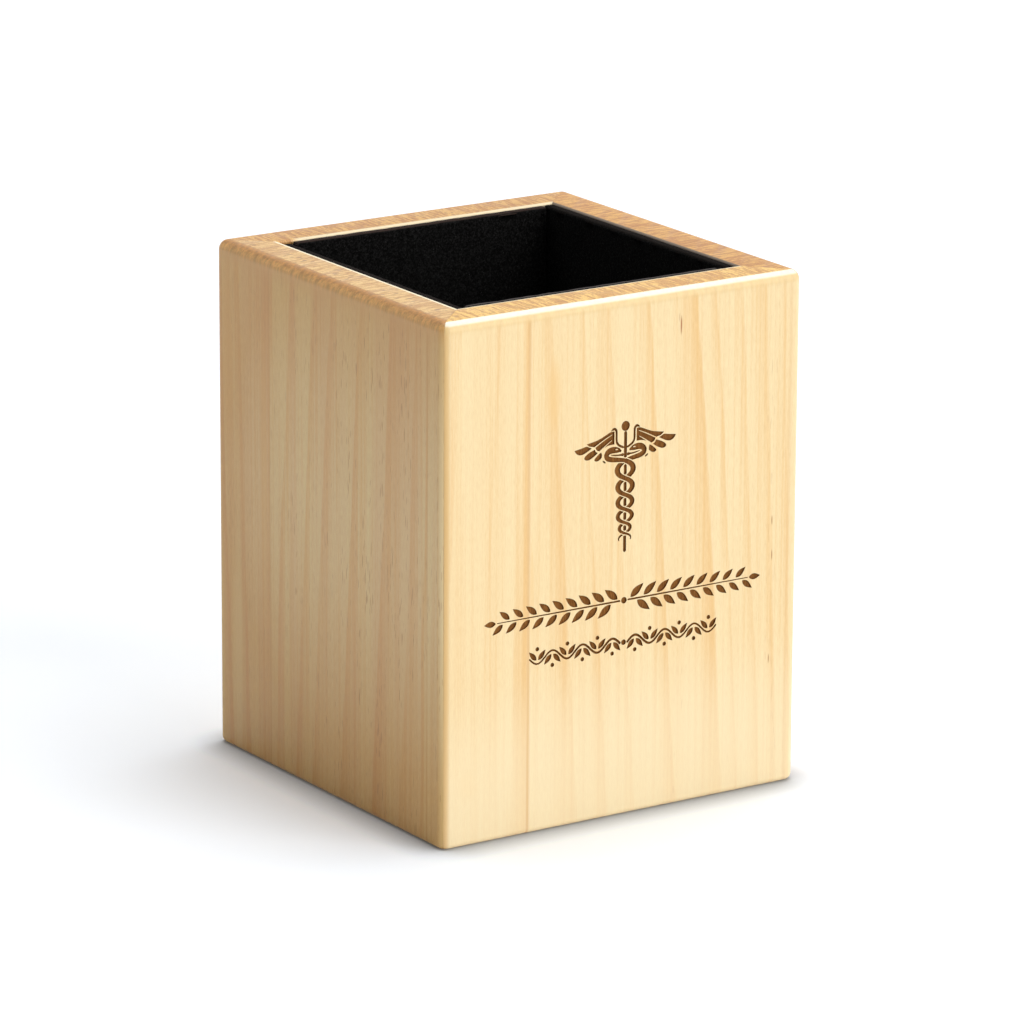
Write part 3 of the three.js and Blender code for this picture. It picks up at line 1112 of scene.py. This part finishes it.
# The camera stands where the photograph was taken.
CAMERA_AZIMUTH = -33.499
CAMERA_ELEVATION = 15.735
CAMERA_ROLL = 0.294
CAMERA_DISTANCE = 1236.05 * MM
CAMERA_AIM = 1.33 * MM  # to the right of the cup's middle
CAMERA_AIM_HEIGHT = 51.08 * MM
FOCAL_PIXELS = 6292.75
FRAME_PIXELS = 1024


def way_towards(azimuth, elevation):
    """The way out, at an angle from the front round to the right and at a height above it."""
    turn, rise = math.radians(azimuth), math.radians(elevation)
    flat = math.cos(rise)
    return Vector((math.sin(turn) * flat, -math.cos(turn) * flat, math.sin(rise)))


def make_camera():
    data = bpy.data.cameras.new("camera")
    data.sensor_width = 36
    data.lens = data.sensor_width * FOCAL_PIXELS / FRAME_PIXELS
    data.clip_start = 0.05
    data.clip_end = 50
    camera = add_object("camera", data)
    back = way_towards(CAMERA_AZIMUTH, CAMERA_ELEVATION)
    right = way_towards(CAMERA_AZIMUTH + 90, 0)
    turn = Matrix((right, back.cross(right), back)).transposed().to_4x4()
    turn = turn @ Matrix.Rotation(math.radians(CAMERA_ROLL), 4, "Z")
    eye = back * CAMERA_DISTANCE + right * CAMERA_AIM + Vector((0, 0, CAMERA_AIM_HEIGHT))
    camera.matrix_world = Matrix.Translation(eye) @ turn
    bpy.context.scene.camera = camera


# Light and floor. Each lamp is a wide soft sun: its azimuth, elevation and strength.
LAMPS = {
    "key": (22, 22, 2.17),
    "side": (85, 60, 1.33),
    "top": (180, 72, 1.73),
}
LAMP_SPREAD = 50  # in degrees
FLOOR_SIZE = 6.0
FLOOR_WHITE = 0.9
FLOOR_SEEN = rgb(0.92, 0.96, 1.01)  # what is seen of it, without the cup's warm cast
FLOOR_HAZE = 0.08  # how bright its deepest shadow looks
CONTACT_REACH = 8 * MM  # the floor is shaded a little deeper, this close to the foot
CONTACT_SHADE = 0.42


def make_lights():
    for name, (azimuth, elevation, strength) in LAMPS.items():
        data = bpy.data.lights.new(name, "SUN")
        data.energy = strength
        data.angle = math.radians(LAMP_SPREAD)
        lamp = add_object(name, data)
        lamp.rotation_mode = "QUATERNION"
        lamp.rotation_quaternion = way_towards(azimuth, elevation).to_track_quat("Z", "Y")


def make_world():
    """White where it is seen or mirrored. It gives no light of its own."""
    world = bpy.data.worlds.new("studio")
    world.use_nodes = True
    tree = world.node_tree
    tree.nodes.clear()
    rays = node(tree, "ShaderNodeLightPath").outputs
    seen = calc(tree, "MAXIMUM", rays["Is Camera Ray"], rays["Is Glossy Ray"])
    background = node(tree, "ShaderNodeBackground", {"Color": rgb(1, 1, 1), "Strength": seen})
    node(tree, "ShaderNodeOutputWorld", {"Surface": background.outputs[0]})
    bpy.context.scene.world = world


def make_floor():
    """A pale floor that looks white outside the cup's shadow."""
    bm = bmesh.new()
    bmesh.ops.create_grid(bm, x_segments=2, y_segments=2, size=FLOOR_SIZE / 2)
    floor = object_from(bm, "floor")
    material, tree = new_material("floor_white")
    rays = node(tree, "ShaderNodeLightPath").outputs
    pale = rgb(FLOOR_WHITE, FLOOR_WHITE, FLOOR_WHITE)
    inputs = {"Color": rgb(1, 1, 1), "Distance": CONTACT_REACH}
    near = node(tree, "ShaderNodeAmbientOcclusion", inputs, samples=16).outputs
    shade = rescale(tree, near["AO"], 0.5, 1.0, CONTACT_SHADE, 1.0, smooth=False)
    seen = mix_colour(tree, shade, rgb(0, 0, 0), FLOOR_SEEN)
    looked_at = calc(tree, "MAXIMUM", rays["Is Camera Ray"], rays["Is Glossy Ray"])
    colour = mix_colour(tree, looked_at, pale, seen)
    lit = node(tree, "ShaderNodeBsdfDiffuse", {"Color": colour}).outputs[0]
    haze = calc(tree, "MULTIPLY", looked_at, FLOOR_HAZE)
    glow = node(tree, "ShaderNodeEmission", {"Color": rgb(1, 1, 1), "Strength": haze}).outputs[0]
    shader = node(tree, "ShaderNodeAddShader", {0: lit, 1: glow})
    node(tree, "ShaderNodeOutputMaterial", {"Surface": shader.outputs[0]})
    floor.data.materials.append(material)


make_camera()
make_lights()
make_world()
make_floor()
make_walls()
make_felt()
base_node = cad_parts["base_board"]
base_node.data.materials.clear()
base_node.data.materials.append(pine_material("pine_base", BOARDS["back"]))

bpy.context.scene.view_settings.view_transform = "Standard"
